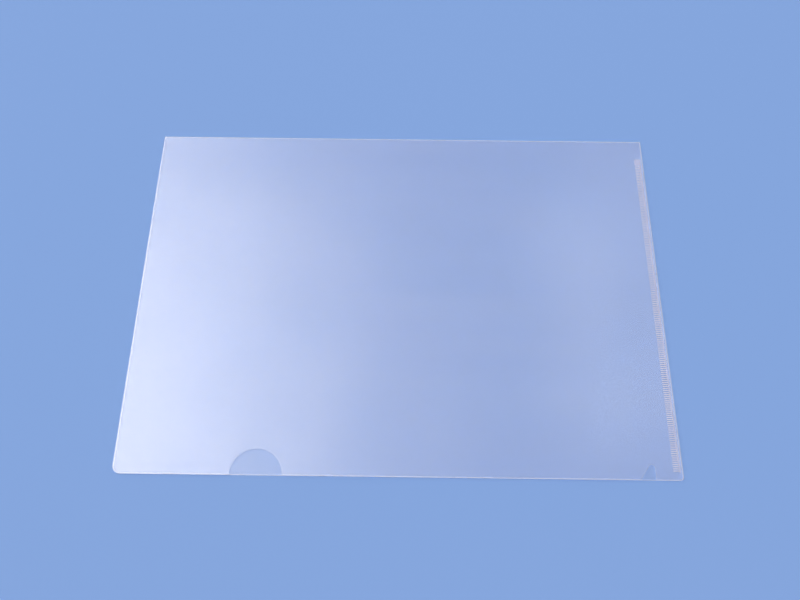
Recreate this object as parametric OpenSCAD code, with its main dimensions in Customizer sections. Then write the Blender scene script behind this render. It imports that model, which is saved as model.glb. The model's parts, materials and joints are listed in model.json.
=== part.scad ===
// Clear L-folder for loose sheets of paper, lying flat on its back sheet.
// One blank of clear film is folded along the far long edge and welded along one
// short edge. The near long edge and the other short edge stay open.
// X runs along the fold, Y from the open long edge to the fold, and Z is up.
// The origin is under the middle of the folder.

/* [Film] */
// Length of the folder along the fold
folder_l = 310; // [240:1:460]
// Width of the folder from the open long edge to the fold
folder_w = 220; // [160:1:330]
// Thickness of the film
film_t = 0.2; // [0.1:0.05:0.5]
// Height of the empty pocket between the two sheets
pocket_gap = 0.4; // [0.2:0.05:2]

/* [Corners] */
// Radius of the free corner, where the two open edges meet
free_corner_r = 4.5; // [1:0.5:15]
// Radius of the corner where the open long edge meets the weld
weld_corner_r = 2; // [0.5:0.5:8]

/* [Thumb notch] */
// Radius of the half-round notch in the front sheet
thumb_r = 14.4; // [8:0.1:20]
// Distance from the open short edge to the middle of the notch
thumb_in = 78; // [50:1:120]

/* [Relief notch] */
// Distance from the welded edge to the square flank of the notch
relief_in = 15; // [9:0.5:25]
// Width of the notch along the open edge
relief_w = 8.5; // [6:0.5:14]
// Depth of the notch
relief_depth = 8.6; // [6:0.1:14]
// Radius of the rounded tip
relief_tip_r = 1.8; // [0.8:0.1:2.5]

/* [Weld] */
// Distance from the short edge to the continuous fused line
weld_inset = 1.2; // [0.6:0.1:2.5]
// Width of the fused line
weld_line_w = 0.8; // [0.4:0.1:1.5]
// Length of the fused bars, inwards from the line
weld_bar_l = 3.2; // [1.5:0.1:5]
// Width of each fused bar
weld_bar_w = 0.4; // [0.3:0.05:0.75]
// Distance from bar to bar
weld_pitch = 1.2; // [0.8:0.1:3]
// Distance from the open long edge to the near end of the weld
weld_near_in = 4.5; // [2:0.5:15]
// Distance from the fold to the far end of the weld
weld_far_in = 13.5; // [3:0.5:30]
// Length of the patch at the far end that is fused all over
weld_patch_l = 5; // [2:0.5:12]

/* [Bend of the front sheet] */
// Distance from the fold to the first bend line, along the open short edge
bend_start = 8; // [2:1:25]

/* [Hidden] */
$fn = 96;
leaf_count = 8;
film_colour = [0.80, 0.86, 0.96, 0.5];
fold_colour = [0.90, 0.93, 0.99, 0.7];
weld_colour = [0.94, 0.95, 0.98, 0.8];

open_x = -folder_l / 2;
weld_x = folder_l / 2;
near_y = -folder_w / 2;
far_y = folder_w / 2;
// A length that takes a cutting shape past every edge of the folder
past = folder_l + folder_w;

front_z = film_t + pocket_gap;
fold_outer_r = film_t + pocket_gap / 2;
fold_inner_r = pocket_gap / 2;
sheet_far_y = far_y - fold_outer_r;

// The relief notch has one flank square to the edge and one slanted flank that meets its round tip
relief_flank_x = weld_x - relief_in;
relief_foot = [relief_flank_x - relief_w, near_y];
relief_tip = [relief_flank_x - relief_tip_r, near_y + relief_depth - relief_tip_r];
tip_from_foot = relief_tip - relief_foot;
slant_l = sqrt(tip_from_foot * tip_from_foot - relief_tip_r * relief_tip_r);
slant_angle = atan2(tip_from_foot.y, tip_from_foot.x) + asin(relief_tip_r / norm(tip_from_foot));
slant_end = relief_foot + slant_l * [cos(slant_angle), sin(slant_angle)];

// The weld is a comb: a fused line with a bar at each tooth of the welding horn, and a patch at its end
weld_line_x = weld_x - weld_inset - weld_line_w;
weld_bar_x = weld_line_x - weld_bar_l;
weld_near_y = near_y + weld_near_in;
weld_far_y = far_y - weld_far_in;
weld_patch_y = weld_far_y - weld_patch_l;
bar_count = floor((weld_patch_y - weld_near_y) / weld_pitch);
first_bar_y = weld_patch_y - bar_count * weld_pitch + (weld_pitch - weld_bar_w) / 2;

// The fold and the weld hold the front sheet flat up to a line from the open end of the fold
// to the tip of the relief notch. Past that line it bends along lines parallel to it.
bend_from = [open_x, far_y - bend_start];
bend_along = (relief_tip - bend_from) / norm(relief_tip - bend_from);
bend_out = [bend_along.y, -bend_along.x];
bend_reach = ([open_x, near_y] - bend_from) * bend_out;
leaf_w = bend_reach / leaf_count;

function leaf_name(k) = str("front_leaf_", k);

// What rounding takes off a corner at the origin whose two edges run along +X and +Y
module corner_trim(r) {
    difference() {
        translate([-r, -r]) square(2 * r);
        translate([r, r]) circle(r);
        translate([r, -2 * r]) square([r, 4 * r]);
        translate([-2 * r, r]) square([4 * r, r]);
    }
}

module sheet_outline() {
    difference() {
        translate([open_x, near_y]) square([folder_l, sheet_far_y - near_y]);
        translate([open_x, near_y]) corner_trim(free_corner_r);
        translate([weld_x, near_y]) mirror([1, 0]) corner_trim(weld_corner_r);
    }
}

module thumb_notch() {
    translate([open_x + thumb_in, near_y]) circle(thumb_r);
}

module relief_notch() {
    translate(relief_tip) circle(relief_tip_r);
    polygon([
        relief_foot,
        slant_end,
        relief_tip,
        [relief_flank_x, relief_tip.y],
        [relief_flank_x, near_y - relief_depth],
        [relief_foot.x, near_y - relief_depth]
    ]);
}

module front_outline() {
    difference() {
        sheet_outline();
        thumb_notch();
        relief_notch();
    }
}

// The strip between two lines parallel to the first bend line, at these distances outwards from it
module bend_band(from, to) {
    inner = bend_from + from * bend_out;
    outer = bend_from + to * bend_out;
    polygon([
        inner - past * bend_along,
        inner + past * bend_along,
        outer + past * bend_along,
        outer - past * bend_along
    ]);
}

// The side of the first bend line, and of the relief notch, that the fold and the weld hold flat
module held_side() {
    bend_band(0, -past);
    translate([relief_tip.x, -past]) square([past, 2 * past]);
}

// The strip of the free side from bend line k to the next, with the last one open outwards
module bend_strip(k) {
    intersection() {
        bend_band((k - 1) * leaf_w, k < leaf_count ? k * leaf_w : past);
        translate([relief_tip.x - 2 * past, -past]) square([2 * past, 2 * past]);
    }
}

// A quarter of the bend's round section, from its outermost line to the top
module fold_quarter() {
    intersection() {
        difference() {
            circle(fold_outer_r);
            circle(fold_inner_r);
        }
        square(2 * fold_outer_r);
    }
}

// Runs a section, drawn across the fold with its centre on the bend's axis, along the whole fold
module along_fold() {
    translate([0, sheet_far_y, fold_outer_r])
        rotate([90, 0, 90])
            linear_extrude(folder_l, center = true)
                children();
}

module back_sheet() {
    color(film_colour) linear_extrude(film_t) sheet_outline();
}

// The blank's crease line is the outermost line of the fold, and parts its lower half from its upper
module fold_lower() {
    color(fold_colour) along_fold() mirror([0, 1]) fold_quarter();
}

module fold_upper() {
    color(fold_colour) along_fold() fold_quarter();
}

module weld_seam() {
    bars = [
        for (i = [0:bar_count - 1])
            let (y = first_bar_y + i * weld_pitch)
                each [
                    [weld_line_x, y],
                    [weld_bar_x, y],
                    [weld_bar_x, y + weld_bar_w],
                    [weld_line_x, y + weld_bar_w]
                ]
    ];
    patch_and_line = [
        [weld_line_x, weld_patch_y],
        [weld_bar_x, weld_patch_y],
        [weld_bar_x, weld_far_y],
        [weld_line_x + weld_line_w, weld_far_y],
        [weld_line_x + weld_line_w, weld_near_y],
        [weld_line_x, weld_near_y]
    ];
    color(weld_colour)
        translate([0, 0, film_t])
            linear_extrude(pocket_gap)
                polygon(concat(bars, patch_and_line));
}

module front_sheet() {
    color(film_colour)
        translate([0, 0, front_z])
            linear_extrude(film_t)
                intersection() {
                    front_outline();
                    held_side();
                }
}

module front_leaf(k) {
    color(film_colour)
        translate([0, 0, front_z])
            linear_extrude(film_t)
                intersection() {
                    front_outline();
                    bend_strip(k);
                }
}

back_sheet();
fold_lower();
fold_upper();
weld_seam();
front_sheet();
for (k = [1:leaf_count]) {
    front_leaf(k);
}
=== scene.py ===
import json
import math

import bpy
import numpy as np
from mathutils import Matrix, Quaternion, Vector
from mathutils.geometry import delaunay_2d_cdt


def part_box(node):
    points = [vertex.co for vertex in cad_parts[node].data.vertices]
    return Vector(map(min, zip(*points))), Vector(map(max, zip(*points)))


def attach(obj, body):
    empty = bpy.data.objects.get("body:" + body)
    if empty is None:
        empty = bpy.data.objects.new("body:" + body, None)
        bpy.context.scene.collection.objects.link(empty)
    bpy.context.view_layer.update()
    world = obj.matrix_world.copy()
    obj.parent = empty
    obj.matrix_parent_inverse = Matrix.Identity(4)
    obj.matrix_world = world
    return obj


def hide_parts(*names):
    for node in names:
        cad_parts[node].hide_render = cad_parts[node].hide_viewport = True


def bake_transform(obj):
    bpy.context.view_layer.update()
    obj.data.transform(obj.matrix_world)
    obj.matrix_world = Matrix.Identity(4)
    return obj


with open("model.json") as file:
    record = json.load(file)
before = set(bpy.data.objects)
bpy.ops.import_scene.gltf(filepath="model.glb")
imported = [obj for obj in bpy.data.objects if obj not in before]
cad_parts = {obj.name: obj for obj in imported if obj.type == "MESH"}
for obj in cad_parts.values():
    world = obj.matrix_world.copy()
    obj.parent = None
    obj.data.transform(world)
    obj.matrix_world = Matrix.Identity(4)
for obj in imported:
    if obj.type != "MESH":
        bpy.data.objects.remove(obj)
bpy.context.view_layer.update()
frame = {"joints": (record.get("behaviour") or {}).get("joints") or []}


# Back sheet: the lower half of one blank of clear polypropylene film, which lies on the table.
# A steel-rule die cuts the blank out of the rolled film and leaves its rim thinned; the rim's whiter, more
# milky finish is a painted highlight for the bright line along the cut edge.
mm = 0.001
back_low, back_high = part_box("back_sheet")
film_t = back_high.z - back_low.z
open_x = back_low.x
weld_x = back_high.x
near_y = back_low.y
sheet_far_y = back_high.y
free_corner_r = 4.5 * mm
weld_corner_r = 2 * mm
corner_steps = 12
rim_w = 0.5 * mm
notch_rim_w = 0.18 * mm
rim_thinning = 0.04 * mm
on_edge = 0.01 * mm
sharp_edge = math.radians(40)
back_row = 7 * mm
back_edge_gap = 0.5 * back_row
film_tints = ((0.68, 0.76, 1.00, 1), (0.80, 0.85, 1.00, 1))
# Tints of the rim band, painted whiter as a highlight along the cut edge
rim_highlight_tints = ((0.74, 0.80, 1.00, 1), (0.86, 0.90, 1.00, 1))
streaks_per_m = (4, 60, 1)
streak_detail = 4
patch_detail = 2
patch_range = (0.3, 0.7)
patch_change = 0.1
emboss_per_m = 4000
emboss_detail = 2
emboss_depth = 0.007 * mm


def arc(centre, radius, from_deg, to_deg, steps):
    """Points on a circle from one angle to another."""
    angles = np.radians(np.linspace(from_deg, to_deg, steps + 1))
    return [(centre[0] + radius * math.cos(a), centre[1] + radius * math.sin(a)) for a in angles]


def blank_outline(near_edge_cuts):
    """One half of the blank, from the open end of the fold round to its welded end."""
    free_corner = (open_x + free_corner_r, near_y + free_corner_r)
    weld_corner = (weld_x - weld_corner_r, near_y + weld_corner_r)
    return np.array(
        [(open_x, sheet_far_y)]
        + arc(free_corner, free_corner_r, 180, 270, corner_steps)
        + near_edge_cuts
        + arc(weld_corner, weld_corner_r, 270, 360, corner_steps)
        + [(weld_x, sheet_far_y)]
    )


def moved_in(outline, widths):
    """An outline moved inwards along each of its edges by that edge's width."""
    nearly_straight = 1e-6
    edges = np.roll(outline, -1, axis=0) - outline
    edges /= np.linalg.norm(edges, axis=1)[:, None]
    inwards = np.stack([-edges[:, 1], edges[:, 0]], axis=1)
    moved = []
    for i, point in enumerate(outline):
        both = np.array([inwards[i - 1], inwards[i]])
        if abs(np.linalg.det(both)) < nearly_straight:
            moved.append(point + inwards[i] * widths[i])
        else:
            moved.append(point + np.linalg.solve(both, [widths[i - 1], widths[i]]))
    return np.array(moved)


def rim_line(outline, notch_edges=()):
    """The inner border of the rim band, which carries the painted edge highlight and is narrower at a
    notch.

    The outline's last edge has no rim, because it runs along the fold.
    """
    widths = np.full(len(outline), rim_w)
    widths[list(notch_edges)] = notch_rim_w
    widths[-1] = 0
    return moved_in(outline, widths)


def closed(outline):
    """An outline that ends where it starts."""
    return np.vstack([outline, outline[:1]])


def divided(line, longest):
    """A line with each of its stretches cut into equal steps, none over the longest."""
    points = []
    for a, b in zip(line[:-1], line[1:]):
        steps = math.ceil(np.linalg.norm(b - a) / longest)
        points += [a + (b - a) * i / steps for i in range(steps)]
    return np.array([*points, line[-1]])


def inside(points, outline):
    """Which points lie inside an outline."""
    x, y = points[:, 0], points[:, 1]
    found = np.zeros(len(points), bool)
    for (ax, ay), (bx, by) in zip(outline, np.roll(outline, -1, axis=0)):
        if ay != by:
            crosses = (ay > y) != (by > y)
            found ^= crosses & (x < ax + (y - ay) * (bx - ax) / (by - ay))
    return found


def distance(points, line):
    """How far points lie from a line."""
    nearest = np.full(len(points), np.inf)
    for a, b in zip(line[:-1], line[1:]):
        along = np.clip(((points - a) @ (b - a)) / ((b - a) @ (b - a)), 0, 1)
        nearest = np.minimum(nearest, np.linalg.norm(points - a - along[:, None] * (b - a), axis=1))
    return nearest


def staggered_rows(start, along, outwards, row_step, row_count, reach):
    """Points in rows outwards from a start, with every other row moved half a step along.

    Each point and its neighbours make triangles with three equal sides.
    """
    step = row_step * 2 / math.sqrt(3)
    places = np.arange(-reach, reach, step)
    rows = []
    for row in range(row_count):
        shifted = places + step / 2 * (row % 2)
        rows.append(start + row * row_step * outwards + shifted[:, None] * along)
    return np.vstack(rows)


def well_inside(points, outline, gap):
    """The points that lie inside an outline, with a gap to all its edges."""
    return points[inside(points, outline) & (distance(points, closed(outline)) > gap)]


def cut_film(outline, longest, lines, loose_points):
    """Flat triangles that fill an outline, with edges along the lines and corners on the loose points.

    The outline's own edges are cut into equal steps, none over the longest.
    """
    whole_hull = 0
    same_point = 1e-8
    cut_edge = divided(closed(outline), longest)
    points = []
    edges = []
    for line in (cut_edge, *lines):
        first = len(points)
        points += list(line)
        edges += [(first + i, first + i + 1) for i in range(len(line) - 1)]
    points += list(loose_points)
    places = [Vector(p) for p in points]
    corners, _, triangles = delaunay_2d_cdt(places, edges, [], whole_hull, same_point)[:3]
    flat = np.array([(p.x, p.y) for p in corners])
    triangles = np.array(triangles)
    kept = inside(flat[triangles].mean(axis=1), cut_edge[:-1])
    return flat, triangles[kept]


def smooth_piece(name, points, faces, materials, material_of_face):
    """A piece that is shaded smooth, except over its sharp edges."""
    mesh = bpy.data.meshes.new(name)
    mesh.from_pydata(points, [], faces)
    for material in materials:
        mesh.materials.append(material)
    mesh.polygons.foreach_set("material_index", material_of_face)
    mesh.shade_smooth()
    mesh.set_sharp_from_angle(angle=sharp_edge)
    piece = bpy.data.objects.new(name, mesh)
    bpy.context.scene.collection.objects.link(piece)
    return piece


def film_piece(name, flat, triangles, low, high, on_band, materials):
    """A closed piece of film over flat triangles, with a lower face, an upper face and walls all round.

    Faces that touch a point on the band take the second material.
    """
    used, corners = np.unique(triangles, return_inverse=True)
    corners = corners.reshape(-1, 3)
    count = len(used)
    points = [(*flat[v], high[v]) for v in used] + [(*flat[v], low[v]) for v in used]
    faces = [tuple(c) for c in corners] + [tuple(c[::-1] + count) for c in corners]
    sides = {(a, b) for c in corners for a, b in zip(c, np.roll(c, -1))}
    open_sides = sorted(s for s in sides if s[::-1] not in sides)
    faces += [(b, a, a + count, b + count) for a, b in open_sides]
    band = on_band[used]
    banded = [int(band[c].any()) for c in corners] * 2
    banded += [int(band[a] and band[b]) for a, b in open_sides]
    return smooth_piece(name, points, faces, materials, banded)


def noise(tree, place, per_m, detail):
    """Soft noise over a surface."""
    texture = tree.nodes.new("ShaderNodeTexNoise")
    texture.inputs["Scale"].default_value = per_m
    texture.inputs["Detail"].default_value = detail
    tree.links.new(place, texture.inputs["Vector"])
    return texture.outputs["Fac"]


def stretched(tree, value, source, target, shape="LINEAR"):
    """A value taken from its source range to a target range."""
    stretch = tree.nodes.new("ShaderNodeMapRange")
    stretch.interpolation_type = shape
    stretch.inputs["From Min"].default_value = source[0]
    stretch.inputs["From Max"].default_value = source[1]
    stretch.inputs["To Min"].default_value = target[0]
    stretch.inputs["To Max"].default_value = target[1]
    tree.links.new(value, stretch.inputs["Value"])
    return stretch.outputs["Result"]


def between(tree, share, tints):
    """A colour that runs from one tint to another."""
    mix = tree.nodes.new("ShaderNodeMix")
    mix.data_type = "RGBA"
    mix.inputs["A"].default_value = tints[0]
    mix.inputs["B"].default_value = tints[1]
    tree.links.new(share, mix.inputs["Factor"])
    return mix.outputs["Result"]


def film_finish(name, tints, solid, ior, roughness, grain, patches_per_m=14, shadow=0.35):
    """Clear film: mostly see-through, with a milky share that varies in patches and a fine matt emboss.

    The solid share is what one face stops of the light behind it, and shadow is how much of that share
    also shades the table, because the film scatters most of what it stops on downwards.
    """
    finish = bpy.data.materials.new(name)
    finish.use_nodes = True
    tree = finish.node_tree
    link = tree.links.new
    film = tree.nodes["Principled BSDF"]
    film.inputs["IOR"].default_value = ior
    place = tree.nodes.new("ShaderNodeTexCoord").outputs["Object"]
    rolled = tree.nodes.new("ShaderNodeMapping")
    rolled.inputs["Scale"].default_value = streaks_per_m
    link(place, rolled.inputs["Vector"])
    streaks = noise(tree, rolled.outputs["Vector"], 1, streak_detail)
    link(between(tree, streaks, tints), film.inputs["Base Color"])
    link(stretched(tree, streaks, (0, 1), roughness), film.inputs["Roughness"])
    patches = noise(tree, place, patches_per_m, patch_detail)
    milky_range = ((1 - patch_change) * solid, (1 + patch_change) * solid)
    shadow_ray = tree.nodes.new("ShaderNodeLightPath").outputs["Is Shadow Ray"]
    stopped = tree.nodes.new("ShaderNodeMath")
    stopped.operation = "MULTIPLY"
    link(stretched(tree, patches, patch_range, milky_range), stopped.inputs[0])
    link(stretched(tree, shadow_ray, (0, 1), (1, shadow)), stopped.inputs[1])
    link(stopped.outputs["Value"], film.inputs["Alpha"])
    emboss = tree.nodes.new("ShaderNodeBump")
    emboss.inputs["Strength"].default_value = grain
    emboss.inputs["Distance"].default_value = emboss_depth
    link(noise(tree, place, emboss_per_m, emboss_detail), emboss.inputs["Height"])
    link(emboss.outputs["Normal"], film.inputs["Normal"])
    return finish


clear_film = film_finish(
    "clear_film",
    film_tints,
    solid=0.11,
    ior=4.4,
    roughness=(0.20, 0.26),
    grain=0.14,
)
# The rim finish is a painted highlight: whiter and more milky than the film, for the bright line along
# each cut edge
painted_rim_highlight = film_finish(
    "painted_rim_highlight",
    rim_highlight_tints,
    solid=0.28,
    ior=3.0,
    roughness=(0.30, 0.40),
    grain=0.3,
    shadow=0.7,
)

back_outline = blank_outline([])
back_rim = rim_line(back_outline)
back_points = staggered_rows(
    start=np.array([open_x, near_y]),
    along=np.array([1, 0]),
    outwards=np.array([0, 1]),
    row_step=back_row,
    row_count=round((sheet_far_y - near_y) / back_row),
    reach=weld_x - open_x,
)
back_flat, back_triangles = cut_film(
    back_outline,
    back_row,
    [divided(back_rim, back_row)],
    well_inside(back_points, back_outline, back_edge_gap),
)
back_on_rim = distance(back_flat, back_outline) < on_edge
back_thin = rim_thinning * back_on_rim
back_sheet = film_piece(
    "back_film",
    back_flat,
    back_triangles,
    back_low.z + back_thin,
    back_high.z - back_thin,
    back_on_rim,
    (clear_film, painted_rim_highlight),
)
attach(back_sheet, "folder")
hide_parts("back_sheet")


# Fold: the same film bent half round along the far long edge, where it joins the two sheets.
# A heated bar creases the blank, which stretches the film round the bend; the fold's whiter, more milky
# finish is a painted highlight for the bright line along its crown.
fold_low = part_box("fold_lower")[0]
fold_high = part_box("fold_upper")[1]
fold_outer_r = fold_high.y - sheet_far_y
fold_inner_r = fold_outer_r - film_t
fold_axis = (sheet_far_y, (fold_low.z + fold_high.z) / 2)
fold_stations = 98
fold_steps = 16
# Tints of the fold, painted whiter as a highlight along the bend
fold_highlight_tints = ((0.90, 0.94, 1.00, 1), (0.98, 0.99, 1.00, 1))

# The fold finish is a painted highlight: whiter and more milky than the film, for the bright line along
# the bend
painted_fold_highlight = film_finish(
    "painted_fold_highlight",
    fold_highlight_tints,
    solid=0.28,
    ior=3.0,
    roughness=(0.30, 0.38),
    grain=0.15,
)
fold_section = arc(fold_axis, fold_outer_r, -90, 90, fold_steps)
fold_section += arc(fold_axis, fold_inner_r, 90, -90, fold_steps)
fold_points = [(x, y, z) for x in np.linspace(open_x, weld_x, fold_stations) for y, z in fold_section]
ring = len(fold_section)
fold_faces = [
    (s * ring + i, s * ring + (i + 1) % ring, (s + 1) * ring + (i + 1) % ring, (s + 1) * ring + i)
    for s in range(fold_stations - 1)
    for i in range(ring)
]
fold_materials = [0] * len(fold_faces)
last_ring = (fold_stations - 1) * ring
for i in range(fold_steps):
    end_face = (i, i + 1, ring - 2 - i, ring - 1 - i)
    fold_faces.append(end_face[::-1])
    fold_faces.append(tuple(last_ring + v for v in end_face))
    fold_materials += [1, 1]
fold = smooth_piece("fold_film", fold_points, fold_faces, (painted_fold_highlight, painted_rim_highlight), fold_materials)
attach(fold, "folder")
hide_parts("fold_lower", "fold_upper")


# Front sheet: the upper half of the blank, held by the fold and the weld, with two cuts in its open edge.
# The half-round notch lets a thumb reach the papers, and the small one stops the film tearing at the weld.
front_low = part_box("front_sheet")[0]
weld_low, weld_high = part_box("weld_seam")
thumb_r = 14.4 * mm
thumb_x = open_x + 78 * mm
thumb_steps = 48
relief_flank_x = weld_x - 15 * mm
relief_w = 8.5 * mm
relief_depth = 8.6 * mm
relief_tip_r = 1.8 * mm
relief_tip_steps = 14
weld_line_w = 0.8 * mm
weld_bar_w = 0.4 * mm
weld_pitch = 1.2 * mm
weld_patch_l = 5 * mm
press_depth = 0.08 * mm
press_slope = 0.1 * mm

relief_tip = np.array([relief_flank_x - relief_tip_r, near_y + relief_depth - relief_tip_r])
relief_foot = np.array([relief_flank_x - relief_w, near_y])
foot_to_tip = relief_tip - relief_foot
slant_deg = math.degrees(
    math.atan2(foot_to_tip[1], foot_to_tip[0]) + math.asin(relief_tip_r / np.linalg.norm(foot_to_tip))
)
thumb_notch = arc((thumb_x, near_y), thumb_r, 180, 0, thumb_steps)
relief_notch = [
    tuple(relief_foot),
    *arc(relief_tip, relief_tip_r, slant_deg + 90, 0, relief_tip_steps),
    (relief_flank_x, near_y),
]
front_outline = blank_outline(thumb_notch + relief_notch)
edge_middles = (front_outline + np.roll(front_outline, -1, axis=0)) / 2
notch_edges = np.flatnonzero(distance(edge_middles, closed(back_outline)) > on_edge)
front_rim = rim_line(front_outline, notch_edges)

# The welding horn presses the same comb into the front film that it fuses below it
weld_line_x = weld_high.x - weld_line_w
weld_patch_y = weld_high.y - weld_patch_l
bar_count = int((weld_patch_y - weld_low.y) / weld_pitch)
first_bar_y = weld_patch_y - bar_count * weld_pitch + (weld_pitch - weld_bar_w) / 2
bar_ys = first_bar_y + weld_pitch * np.arange(bar_count)
press_xs = []
for x in (weld_low.x, weld_line_x, weld_high.x):
    press_xs += [x - press_slope, x + press_slope]
press_edges_y = [weld_low.y, *bar_ys, *(bar_ys + weld_bar_w), weld_patch_y, weld_high.y]
press_ys = sorted(y + s for y in press_edges_y for s in (-press_slope, press_slope))
press_lines = [[(x, y) for x in press_xs] for y in press_ys]


def pressed(points):
    """True for points that the welding horn pushes down."""
    x, y = points[:, 0], points[:, 1]
    in_length = (y > weld_low.y) & (y < weld_high.y)
    bar_place = (y - first_bar_y) % weld_pitch
    on_bar = (bar_place < weld_bar_w) & (y > first_bar_y) & (y < weld_patch_y)
    on_patch = y > weld_patch_y
    on_line = x > weld_line_x
    in_width = (x > weld_low.x) & (x < weld_high.x)
    return in_length & in_width & (on_line | on_bar | on_patch)


# The loose film has some slack, with a broad swell and a small ripple over it.
# Their lengths are for one radian of the wave.
film_slack = 0.5 * mm
swell_h = 0.25 * mm
swell_l = (38 * mm, 52 * mm)
swell_shift = (0.6, -0.4)
ripple_h = 0.12 * mm
ripple_l = (17 * mm, 29 * mm)
ripple_shift = 1
cross_ripple_l = (41 * mm, 21 * mm)
weld_hold = 45 * mm
fold_hold = 40 * mm


def ease(t):
    """A smooth step from 0 to 1."""
    t = np.clip(t, 0, 1)
    return t * t * (3 - 2 * t)


def lift(points):
    """How far the loose front film stands off the back sheet, which the fold and the weld hold down."""
    x, y = points[:, 0], points[:, 1]
    swell = np.sin(x / swell_l[0] + swell_shift[0]) * np.sin(y / swell_l[1] + swell_shift[1])
    ripple = np.sin(x / ripple_l[0] + y / ripple_l[1] + ripple_shift)
    ripple *= np.sin(y / cross_ripple_l[1] - x / cross_ripple_l[0])
    loose = film_slack + swell_h * swell + ripple_h * ripple
    return loose * ease((weld_low.x - x) / weld_hold) * ease((sheet_far_y - y) / fold_hold)


# The film's points lie in rows along the bends, closer where it bends than where it is held flat.
# Beside the weld they stand in columns, at these distances from its bars and with these steps.
rows_per_leaf = 10
row_gap = 0.6
weld_columns = ((0.8 * mm, weld_pitch), (2.2 * mm, 2 * weld_pitch), (4.2 * mm, 3 * weld_pitch))

bends = [j for j in frame["joints"] if j["name"].startswith("front_bend_")]
bend_along = -np.array(bends[0]["axis"][:2])
bend_out = np.array([bend_along[1], -bend_along[0]])
first_bend = np.array(bends[0]["pos_m"][:2])
leaf_w = (np.array(bends[1]["pos_m"][:2]) - first_bend) @ bend_out
bend_reach = (np.array([open_x, near_y]) - first_bend) @ bend_out
diagonal = math.hypot(weld_x - open_x, sheet_far_y - near_y)
bend_row = leaf_w / rows_per_leaf
bend_rows = round(bend_reach / bend_row)
held_row = 2 * bend_row
held_rows = round(diagonal / held_row)
held_end = first_bend - held_row * bend_out
bending_points = staggered_rows(first_bend, bend_along, bend_out, bend_row, bend_rows, diagonal)
held_points = staggered_rows(held_end, bend_along, -bend_out, held_row, held_rows, diagonal)
loose_points = [
    well_inside(bending_points, front_outline, row_gap * bend_row),
    well_inside(held_points, front_outline, row_gap * held_row),
]
by_weld_x = weld_low.x - weld_columns[-1][0] - row_gap * held_row
by_weld_y = (weld_low.y - held_row, weld_high.y + held_row)
for i, points in enumerate(loose_points):
    in_weld_y = (points[:, 1] > by_weld_y[0]) & (points[:, 1] < by_weld_y[1])
    loose_points[i] = points[(points[:, 0] < by_weld_x) | ~in_weld_y]
for gap, step in weld_columns:
    column = np.arange(weld_low.y, weld_high.y, step)
    loose_points.append(np.stack([np.full(len(column), weld_low.x - gap), column], axis=1))


def on_first_seam(x):
    """The point at x on the line where the film that is held flat ends and the film that bends starts."""
    return held_end + (x - held_end[0]) / bend_along[0] * bend_along


first_seam = [on_first_seam(open_x - rim_w), on_first_seam(relief_tip[0]), relief_tip]
front_flat, front_triangles = cut_film(
    front_outline,
    bend_row,
    [divided(front_rim, bend_row), first_seam, *press_lines],
    np.vstack(loose_points),
)
front_on_rim = distance(front_flat, front_outline) < on_edge
front_thin = rim_thinning * front_on_rim
front_level = front_low.z + lift(front_flat) - press_depth * pressed(front_flat)
front_lower_face = front_level + front_thin
front_upper_face = front_level + film_t - front_thin

middles = front_flat[front_triangles].mean(axis=1)
past_bend = (middles - first_bend) @ bend_out
on_held_side = (past_bend < -held_row) | (middles[:, 0] > relief_tip[0])
held_film = film_piece(
    "front_film_held",
    front_flat,
    front_triangles[on_held_side],
    front_lower_face,
    front_upper_face,
    front_on_rim,
    (clear_film, painted_rim_highlight),
)
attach(held_film, "folder")
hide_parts("front_sheet")

for k, bend in enumerate(bends, start=1):
    bend_at = (k - 1) * leaf_w
    seam_from = bend_at - leaf_w / 2 if k > 1 else -held_row
    seam_to = bend_at + leaf_w / 2
    piece_to = seam_to if k < len(bends) else np.inf
    on_piece = ~on_held_side & (past_bend > seam_from) & (past_bend < piece_to)
    bending_film = film_piece(
        f"front_film_bend_{k}",
        front_flat,
        front_triangles[on_piece],
        front_lower_face,
        front_upper_face,
        front_on_rim,
        (clear_film, painted_rim_highlight),
    )
    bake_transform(bending_film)
    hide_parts(f"front_leaf_{k}")


# Weld seam: where the two sheets are melted together along the short edge after folding.
# An ultrasonic horn with a toothed face fuses a line, a row of short bars and a patch at the far end.
weld_rim_w = 0.12 * mm
weld_rounding = 0.05 * mm
weld_clear = 0.004 * mm
weld_roughness = (0.4, 0.55)
weld_patches_per_m = 90
bar_tints = ((0.84, 0.80, 0.86, 1), (0.95, 0.89, 0.90, 1))
line_tints = ((0.88, 0.76, 0.84, 1), (0.96, 0.86, 0.90, 1))

fused_bars = film_finish(
    "fused_bars",
    bar_tints,
    solid=0.65,
    ior=2.5,
    roughness=weld_roughness,
    grain=0.6,
    patches_per_m=weld_patches_per_m,
)
fused_line = film_finish(
    "fused_line",
    line_tints,
    solid=0.2,
    ior=2.5,
    roughness=weld_roughness,
    grain=0.6,
    patches_per_m=weld_patches_per_m,
)
comb = []
bar_roots = []
for y in bar_ys:
    comb += [
        (weld_line_x, y),
        (weld_low.x, y),
        (weld_low.x, y + weld_bar_w),
        (weld_line_x, y + weld_bar_w),
    ]
    bar_roots.append([(weld_line_x, y), (weld_line_x, y + weld_bar_w)])
comb += [
    (weld_line_x, weld_patch_y),
    (weld_low.x, weld_patch_y),
    (weld_low.x, weld_high.y),
    (weld_high.x, weld_high.y),
    (weld_high.x, weld_low.y),
    (weld_line_x, weld_low.y),
]
comb_outline = np.array(comb)[::-1]
comb_rim = moved_in(comb_outline, np.full(len(comb_outline), weld_rim_w))
comb_flat, comb_triangles = cut_film(
    comb_outline,
    weld_pitch,
    [divided(closed(comb_rim), weld_pitch), *bar_roots],
    [],
)
comb_edge = distance(comb_flat, closed(comb_outline))
comb_rounding = weld_rounding * np.clip(1 - comb_edge / weld_rim_w, 0, 1)
on_line = comb_flat[:, 0] > weld_line_x + on_edge
on_patch = comb_flat[:, 1] > weld_patch_y - on_edge
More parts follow.
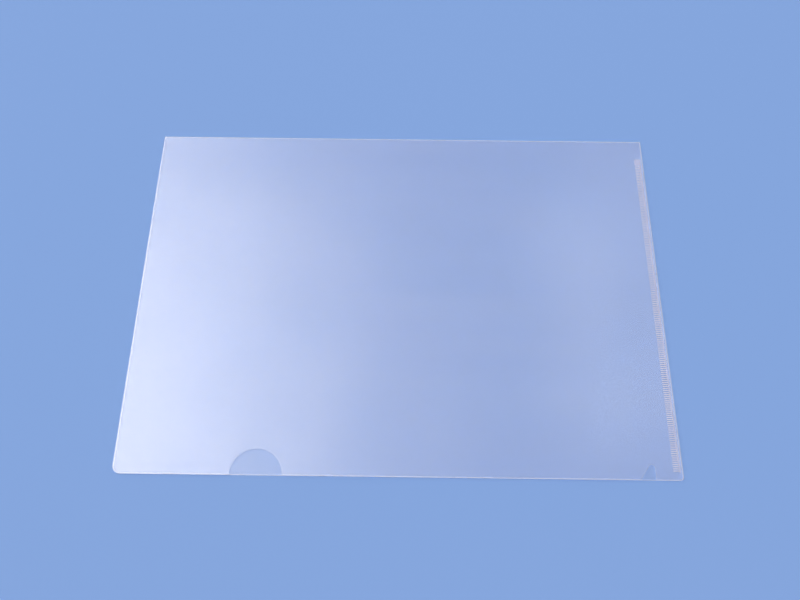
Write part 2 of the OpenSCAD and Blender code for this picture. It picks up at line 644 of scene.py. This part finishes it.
weld_seam = film_piece(
    "weld_comb",
    comb_flat,
    comb_triangles,
    weld_low.z + weld_clear + comb_rounding,
    weld_high.z - press_depth - weld_clear - comb_rounding,
    on_line | on_patch,
    (fused_bars, fused_line),
)
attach(weld_seam, "folder")
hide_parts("weld_seam")


# Table: a plain pale matt top, which shows through the clear film.
# It only carries the folder and its soft shadow.
table_half = 30
table_gap = 0.05 * mm
table_z = back_low.z - table_gap
table_roughness = 0.9
table_sheen = 0.1
table_clouds_per_m = 0.75
table_cloud_detail = 2
table_tints = ((0.220, 0.372, 0.735, 1), (0.240, 0.392, 0.755, 1))

table_mesh = bpy.data.meshes.new("table_top")
table_corners = [(-1, -1), (1, -1), (1, 1), (-1, 1)]
table_points = [(x * table_half, y * table_half, table_z) for x, y in table_corners]
table_mesh.from_pydata(table_points, [], [(0, 1, 2, 3)])
table = bpy.data.objects.new("table_top", table_mesh)
bpy.context.scene.collection.objects.link(table)
matt_table = bpy.data.materials.new("matt_table")
matt_table.use_nodes = True
table_tree = matt_table.node_tree
table_top = table_tree.nodes["Principled BSDF"]
table_top.inputs["Roughness"].default_value = table_roughness
table_top.inputs["Specular IOR Level"].default_value = table_sheen
table_place = table_tree.nodes.new("ShaderNodeTexCoord").outputs["Object"]
table_clouds = noise(table_tree, table_place, table_clouds_per_m, table_cloud_detail)
table_tree.links.new(between(table_tree, table_clouds, table_tints), table_top.inputs["Base Color"])
table_mesh.materials.append(matt_table)


# Light: a soft lamp behind the open end and two small ones over the weld, in a pale light tent.
# The tent glows over the open end, and the film shows that glow fading towards the weld.
tent_wall_colour = (0.88, 0.94, 1.0, 1)
tent_wall_strength = (0.9, 0.05)
tent_wall_heights = (0.25, 0.65)
tent_glow_colour = (1.0, 0.95, 0.90, 1)
tent_glow_strength = 4.2
tent_glow_from = Vector((-0.65, 0.20, 0.80))
tent_glow_edge = 0.66


def hang_lamp(name, place, size, power):
    """A round lamp that shines at the folder."""
    lamp_data = bpy.data.lights.new(name, "AREA")
    lamp_data.shape = "DISK"
    lamp_data.size = size
    lamp_data.energy = power
    lamp = bpy.data.objects.new(name, lamp_data)
    lamp.location = place
    lamp.rotation_mode = "QUATERNION"
    lamp.rotation_quaternion = (-place).to_track_quat("-Z", "Y")
    bpy.context.scene.collection.objects.link(lamp)


hang_lamp("soft_lamp", place=Vector((-3.3, 2.0, 2.1)), size=2.4, power=24)
hang_lamp("weld_lamp_far", place=Vector((0.39, 0.57, 1.0)), size=0.24, power=0.12)
hang_lamp("weld_lamp_near", place=Vector((0.42, 0.27, 1.0)), size=0.24, power=0.12)

tent = bpy.data.worlds.new("light_tent")
tent.use_nodes = True
tent_tree = tent.node_tree
tent_link = tent_tree.links.new
tent_direction = tent_tree.nodes.new("ShaderNodeTexCoord").outputs["Generated"]

tent_wall = tent_tree.nodes["Background"]
tent_wall.inputs["Color"].default_value = tent_wall_colour
tent_axes = tent_tree.nodes.new("ShaderNodeSeparateXYZ")
tent_link(tent_direction, tent_axes.inputs["Vector"])
tent_height = tent_axes.outputs["Z"]
wall_level = stretched(tent_tree, tent_height, tent_wall_heights, tent_wall_strength, "SMOOTHSTEP")
tent_link(wall_level, tent_wall.inputs["Strength"])

# The glow's fade is squared, so that it rises slowly from its edge
glow = tent_tree.nodes.new("ShaderNodeBackground")
glow.inputs["Color"].default_value = tent_glow_colour
nearness = tent_tree.nodes.new("ShaderNodeVectorMath")
nearness.operation = "DOT_PRODUCT"
nearness.inputs[1].default_value = tent_glow_from.normalized()
tent_link(tent_direction, nearness.inputs[0])
glow_range = (0, math.sqrt(tent_glow_strength))
fade = stretched(tent_tree, nearness.outputs["Value"], (tent_glow_edge, 1), glow_range, "SMOOTHSTEP")
glow_level = tent_tree.nodes.new("ShaderNodeMath")
glow_level.operation = "POWER"
glow_level.inputs[1].default_value = 2
tent_link(fade, glow_level.inputs[0])
tent_link(glow_level.outputs["Value"], glow.inputs["Strength"])

tent_light = tent_tree.nodes.new("ShaderNodeAddShader")
tent_link(tent_wall.outputs["Background"], tent_light.inputs[0])
tent_link(glow.outputs["Background"], tent_light.inputs[1])
tent_link(tent_light.outputs["Shader"], tent_tree.nodes["World Output"].inputs["Surface"])
bpy.context.scene.world = tent


# Camera: above the near edge, looking down at the folder at the photograph's angle.
# Its place and lens were solved from the folder's four corners in the picture.
camera_place = Vector((1.67 * mm, -200.0 * mm, 435.75 * mm))
camera_aim = Vector((-0.02 * mm, -4.76 * mm, 0))
camera_roll = math.radians(0.262)
camera_lens = 36.1
camera_sensor = 36
camera_nearest = 0.01
camera_farthest = 100
most_film_faces = 32

camera_data = bpy.data.cameras.new("camera")
camera_data.lens = camera_lens
camera_data.sensor_width = camera_sensor
camera_data.clip_start = camera_nearest
camera_data.clip_end = camera_farthest
camera = bpy.data.objects.new("camera", camera_data)
camera.location = camera_place
camera.rotation_mode = "QUATERNION"
looking = (camera_aim - camera_place).to_track_quat("-Z", "Y")
camera.rotation_quaternion = looking @ Quaternion((0, 0, 1), camera_roll)
bpy.context.scene.collection.objects.link(camera)
bpy.context.scene.camera = camera
bpy.context.scene.view_settings.view_transform = "Standard"
bpy.context.scene.cycles.transparent_max_bounces = most_film_faces
